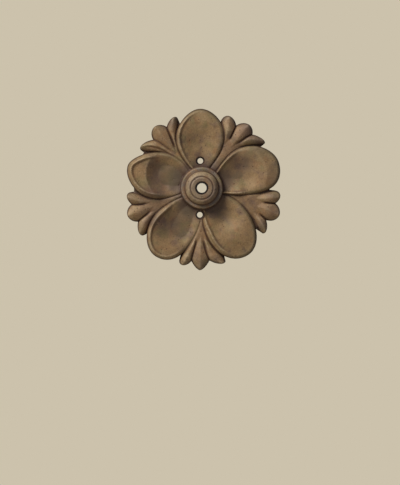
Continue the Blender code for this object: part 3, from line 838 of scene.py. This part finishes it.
class Nodes:
    """A short way to add and join the nodes of one material."""

    def __init__(self, material):
        material.use_nodes = True
        self.tree = material.node_tree
        self.shader = self.tree.nodes["Principled BSDF"]
        self.place = self.tree.nodes.new("ShaderNodeTexCoord").outputs["Object"]

    def set(self, socket, value):
        """Joins an output to a socket, or gives the socket a plain value."""
        if isinstance(value, bpy.types.NodeSocket):
            self.tree.links.new(value, socket)
        else:
            socket.default_value = value

    def noise(self, scale, detail=4, roughness=0.5, offset=(0, 0, 0)):
        """A noise between 0 and 1, with features about 1 / scale metres wide."""
        node = self.tree.nodes.new("ShaderNodeTexNoise")
        node.inputs["Scale"].default_value = scale
        node.inputs["Detail"].default_value = detail
        node.inputs["Roughness"].default_value = roughness
        self.set(node.inputs["Vector"], self.moved(offset))
        return node.outputs["Fac"]

    def cells(self, scale, offset):
        """The distance to the nearest of many scattered points, in cells."""
        node = self.tree.nodes.new("ShaderNodeTexVoronoi")
        node.inputs["Scale"].default_value = scale
        self.set(node.inputs["Vector"], self.moved(offset))
        return node.outputs["Distance"]

    def moved(self, offset):
        """The place on the casting, shifted, so that two patterns don't lie on each other."""
        node = self.tree.nodes.new("ShaderNodeVectorMath")
        node.operation = "ADD"
        self.set(node.inputs[0], self.place)
        node.inputs[1].default_value = offset
        return node.outputs[0]

    def mark(self, name):
        """A mark that the mesh carries."""
        node = self.tree.nodes.new("ShaderNodeAttribute")
        node.attribute_name = name
        return node.outputs["Fac"]

    def ramp(self, value, low, high, to_low=0.0, to_high=1.0):
        """The value stretched from one range to another, and held at its ends."""
        node = self.tree.nodes.new("ShaderNodeMapRange")
        node.interpolation_type = "SMOOTHSTEP"
        self.set(node.inputs["Value"], value)
        for name, amount in (("From Min", low), ("From Max", high), ("To Min", to_low), ("To Max", to_high)):
            node.inputs[name].default_value = amount
        return node.outputs["Result"]

    def math(self, operation, first, second):
        """A sum, product or other simple result of two values."""
        node = self.tree.nodes.new("ShaderNodeMath")
        node.operation = operation
        self.set(node.inputs[0], first)
        self.set(node.inputs[1], second)
        return node.outputs[0]

    def blend(self, share, first, second, kind="MIX"):
        """One colour laid over another."""
        node = self.tree.nodes.new("ShaderNodeMix")
        node.data_type = "RGBA"
        node.blend_type = kind
        self.set(node.inputs["Factor"], share)
        self.set(node.inputs["A"], first)
        self.set(node.inputs["B"], second)
        return node.outputs["Result"]

    def laid(self, name, share, colour, tint):
        """The colour with a tint laid over it where the mesh carries this mark."""
        return self.blend(self.math("MULTIPLY", self.mark(name), share), colour, tint)

    def grey(self, value):
        """A colour with this value in all three channels."""
        node = self.tree.nodes.new("ShaderNodeCombineColor")
        for channel in ("Red", "Green", "Blue"):
            self.set(node.inputs[channel], value)
        return node.outputs["Color"]

    def bump(self, height, distance, under=None):
        """A fine relief, this deep in metres."""
        node = self.tree.nodes.new("ShaderNodeBump")
        node.inputs["Distance"].default_value = distance
        self.set(node.inputs["Height"], height)
        if under is not None:
            self.set(node.inputs["Normal"], under)
        return node.outputs["Normal"]


def iron_material():
    """Brown iron: mottled, with painted shade in its recesses, worn edges with painted highlights, stained,
    grainy and pitted.
    """
    material = bpy.data.materials.new("brown_iron")
    nodes = Nodes(material)
    colour = nodes.blend(nodes.mark("sepal"), PETAL_BROWN, SEPAL_BROWN)
    colour = nodes.laid("dusty", DUST_SHARE, colour, DUSTY)
    for mottle in MOTTLES:
        pattern = nodes.noise(mottle["scale"], offset=mottle["offset"])
        share = nodes.ramp(pattern, mottle["low"], mottle["high"], 0.0, mottle["most"])
        colour = nodes.blend(share, colour, mottle["colour"])
    patch = nodes.ramp(nodes.noise(**PATCHINESS), *PATCH_SHARES)
    colour = nodes.laid("rust", patch, colour, RUST)
    # Lighter edges: wear and painted highlight.
    colour = nodes.laid("edge", nodes.ramp(nodes.noise(**WEAR_AND_HIGHLIGHT_PATTERN), *WEAR_AND_HIGHLIGHT_SHARES), colour, WORN_AND_HIGHLIGHT)
    grain = nodes.noise(**GRAIN)
    colour = nodes.blend(1.0, colour, nodes.grey(nodes.ramp(grain, *GRAIN_SHADES)), kind="MULTIPLY")
    # Painted shade in hollows and round the boss.
    colour = nodes.blend(nodes.ramp(nodes.mark("hollow_shade"), *HOLLOW_SHARES), colour, HOLLOW_SHADE)
    colour = nodes.laid("olive", patch, colour, MOSS)
    # Dark stains, partly painted shade and shadow.
    colour = nodes.laid("stain_and_shade", patch, colour, STAIN_AND_SHADE_COLOUR)
    # Low sepal edges darkened, and painted shade at the petals' soft edges.
    colour = nodes.laid("verge_and_shade", VERGE_SHARE, colour, DARK_OLIVE)
    # Painted shade in creases and along rim lines.
    colour = nodes.laid("crease_and_rim_shade", CREASE_SHARE, colour, REDDISH)
    # Painted shade in recesses, grooves and bores.
    colour = nodes.blend(nodes.ramp(nodes.mark("recess_shade"), *RECESS_SHARES), colour, RECESS_SHADE_AND_PITS)
    pits = nodes.ramp(nodes.cells(**PITS), *PIT_SHARES)
    colour = nodes.blend(nodes.math("MULTIPLY", pits, PIT_SHADE), colour, RECESS_SHADE_AND_PITS)
    nodes.set(nodes.shader.inputs["Base Color"], colour)
    nodes.set(nodes.shader.inputs["Roughness"], nodes.ramp(grain, *GRAIN_ROUGHNESS))
    nodes.shader.inputs["Metallic"].default_value = METALLIC
    relief = nodes.bump(grain, GRAIN_DEPTH)
    relief = nodes.bump(nodes.noise(**SKIN), SKIN_DEPTH, under=relief)
    relief = nodes.bump(nodes.math("SUBTRACT", 1.0, pits), PIT_DEPTH, under=relief)
    nodes.set(nodes.shader.inputs["Normal"], relief)
    return material


def make_floor():
    """A plain pale floor, well below the rosette."""
    material = bpy.data.materials.new("pale_floor")
    material.use_nodes = True
    shader = material.node_tree.nodes["Principled BSDF"]
    shader.inputs["Base Color"].default_value = (*PAPER, 1)
    shader.inputs["Roughness"].default_value = FLOOR_ROUGHNESS
    bpy.ops.mesh.primitive_plane_add(size=FLOOR_SIZE, location=(0, 0, FLOOR_LEVEL))
    floor = bpy.context.object
    floor.name = "floor"
    floor.data.materials.append(material)


def make_light(name, place, size, watts, colour):
    """A square soft light that faces the rosette."""
    data = bpy.data.lights.new(name, "AREA")
    data.size = size
    data.energy = watts
    data.color = colour
    light = bpy.data.objects.new(name, data)
    bpy.context.scene.collection.objects.link(light)
    light.location = place
    light.rotation_euler = (-Vector(place)).to_track_quat("-Z", "Y").to_euler()


def make_lights():
    """A key light from the upper left, and a weak one from the right in front."""
    make_light("key", **KEY_LIGHT)
    make_light("fill", **FILL_LIGHT)


def make_world():
    """Dim soft light from all round, behind which the camera sees plain pale paper."""
    world = bpy.data.worlds.new("pale_room")
    bpy.context.scene.world = world
    world.use_nodes = True
    tree = world.node_tree
    seen = tree.nodes["Background"]
    seen.inputs["Color"].default_value = (*PAPER, 1)
    lit = tree.nodes.new("ShaderNodeBackground")
    lit.inputs["Color"].default_value = (*AMBIENT, 1)
    lit.inputs["Strength"].default_value = AMBIENT_STRENGTH
    chosen = tree.nodes.new("ShaderNodeMixShader")
    path = tree.nodes.new("ShaderNodeLightPath")
    tree.links.new(path.outputs["Is Camera Ray"], chosen.inputs["Fac"])
    tree.links.new(lit.outputs[0], chosen.inputs[1])
    tree.links.new(seen.outputs[0], chosen.inputs[2])
    tree.links.new(chosen.outputs[0], tree.nodes["World Output"].inputs["Surface"])


def make_camera():
    """Straight in front of the bolt hole, aimed a little below it, as the picture has it."""
    data = bpy.data.cameras.new("camera")
    data.lens = LENS
    data.sensor_width = SENSOR
    camera = bpy.data.objects.new("camera", data)
    bpy.context.scene.collection.objects.link(camera)
    bpy.context.scene.camera = camera
    distance = PICTURE[1] * PIXEL * LENS / SENSOR
    right = (PICTURE[0] / 2 - BOLT_PIXEL[0]) * PIXEL
    down = (PICTURE[1] / 2 - BOLT_PIXEL[1]) * PIXEL
    camera.location = (right, -distance, 0)
    camera.rotation_euler = (math.radians(90) - math.atan(down / distance), 0, 0)


def main():
    """Loads the frame and dresses it."""
    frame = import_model()
    bpy.context.scene.view_settings.view_transform = "Standard"
    make_camera()
    make_world()
    make_lights()
    make_floor()
    casting = make_casting()
    casting.data.materials.clear()
    casting.data.materials.append(iron_material())
    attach(casting, "root")
    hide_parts(*frame["nodes"])


main()
